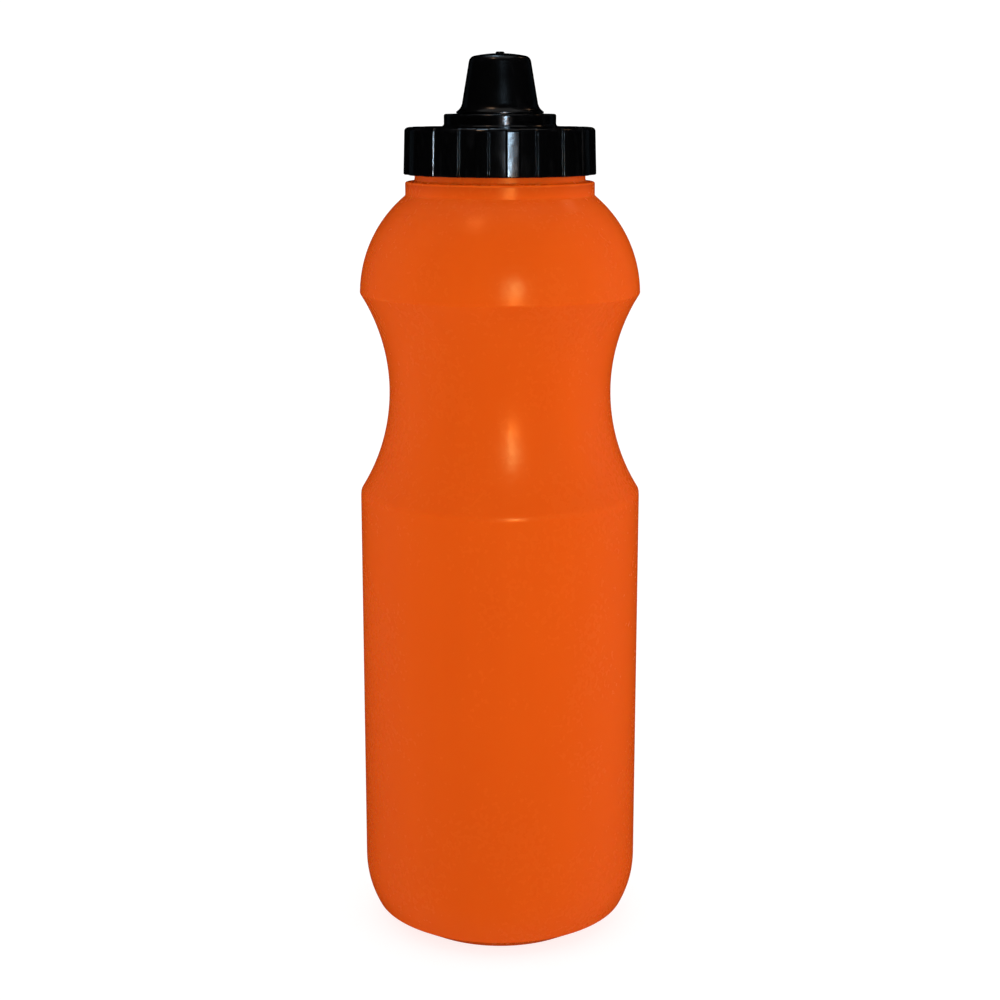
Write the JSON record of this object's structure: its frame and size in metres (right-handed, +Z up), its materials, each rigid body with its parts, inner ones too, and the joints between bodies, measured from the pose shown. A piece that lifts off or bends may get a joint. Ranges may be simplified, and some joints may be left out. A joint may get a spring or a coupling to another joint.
{
  "type": "sports squeeze bottle",
  "caption": "Sports squeeze bottle with a round barrel, finger waist and domed shoulder, a ribbed screw cap, and a push-pull drinking spout that shuts on a centre pin.",
  "frame": {"origin": "centre of the base, on the surface the bottle stands on", "axes": "+Z up along the bottle's axis; the bottle is turned, so X and Y are alike apart from the cap's ribs, the spokes and the thread"},
  "size_m": [0.074, 0.074, 0.233],
  "materials": {
    "orange_squeeze_plastic": "translucent orange low-density polyethylene, satin outside",
    "black_gloss_plastic": "glossy black polypropylene, faint moulding marks",
    "black_seal_rubber": "matt dark grey silicone"
  },
  "bodies": {
    "bottle": {"bottle": "orange_squeeze_plastic"},
    "gasket": {"cap_gasket": "black_seal_rubber"},
    "cap": {"screw_cap": "black_gloss_plastic", "base_seal": "black_seal_rubber", "spout_base": "black_gloss_plastic", "post_oring": "black_seal_rubber"},
    "spout": {"pull_spout": "black_gloss_plastic"}
  },
  "joints": [
    {"name": "cap_lift", "type": "slide", "parent": "bottle", "child": "gasket", "axis": [0, 0, 1], "range_m": [0, 0.0102]},
    {"name": "cap_turn", "type": "hinge", "parent": "gasket", "child": "cap", "pos_m": [0, 0, 0.207], "axis": [0, 0, 1], "range_deg": [0, 900]},
    {"name": "spout_pull", "type": "slide", "parent": "cap", "child": "spout", "axis": [0, 0, 1], "range_m": [0, 0.005]}
  ],
  "couplings": [
    {"joint": "cap_lift", "follows": "cap_turn", "m_per_rad": 0.00063662}
  ]
}
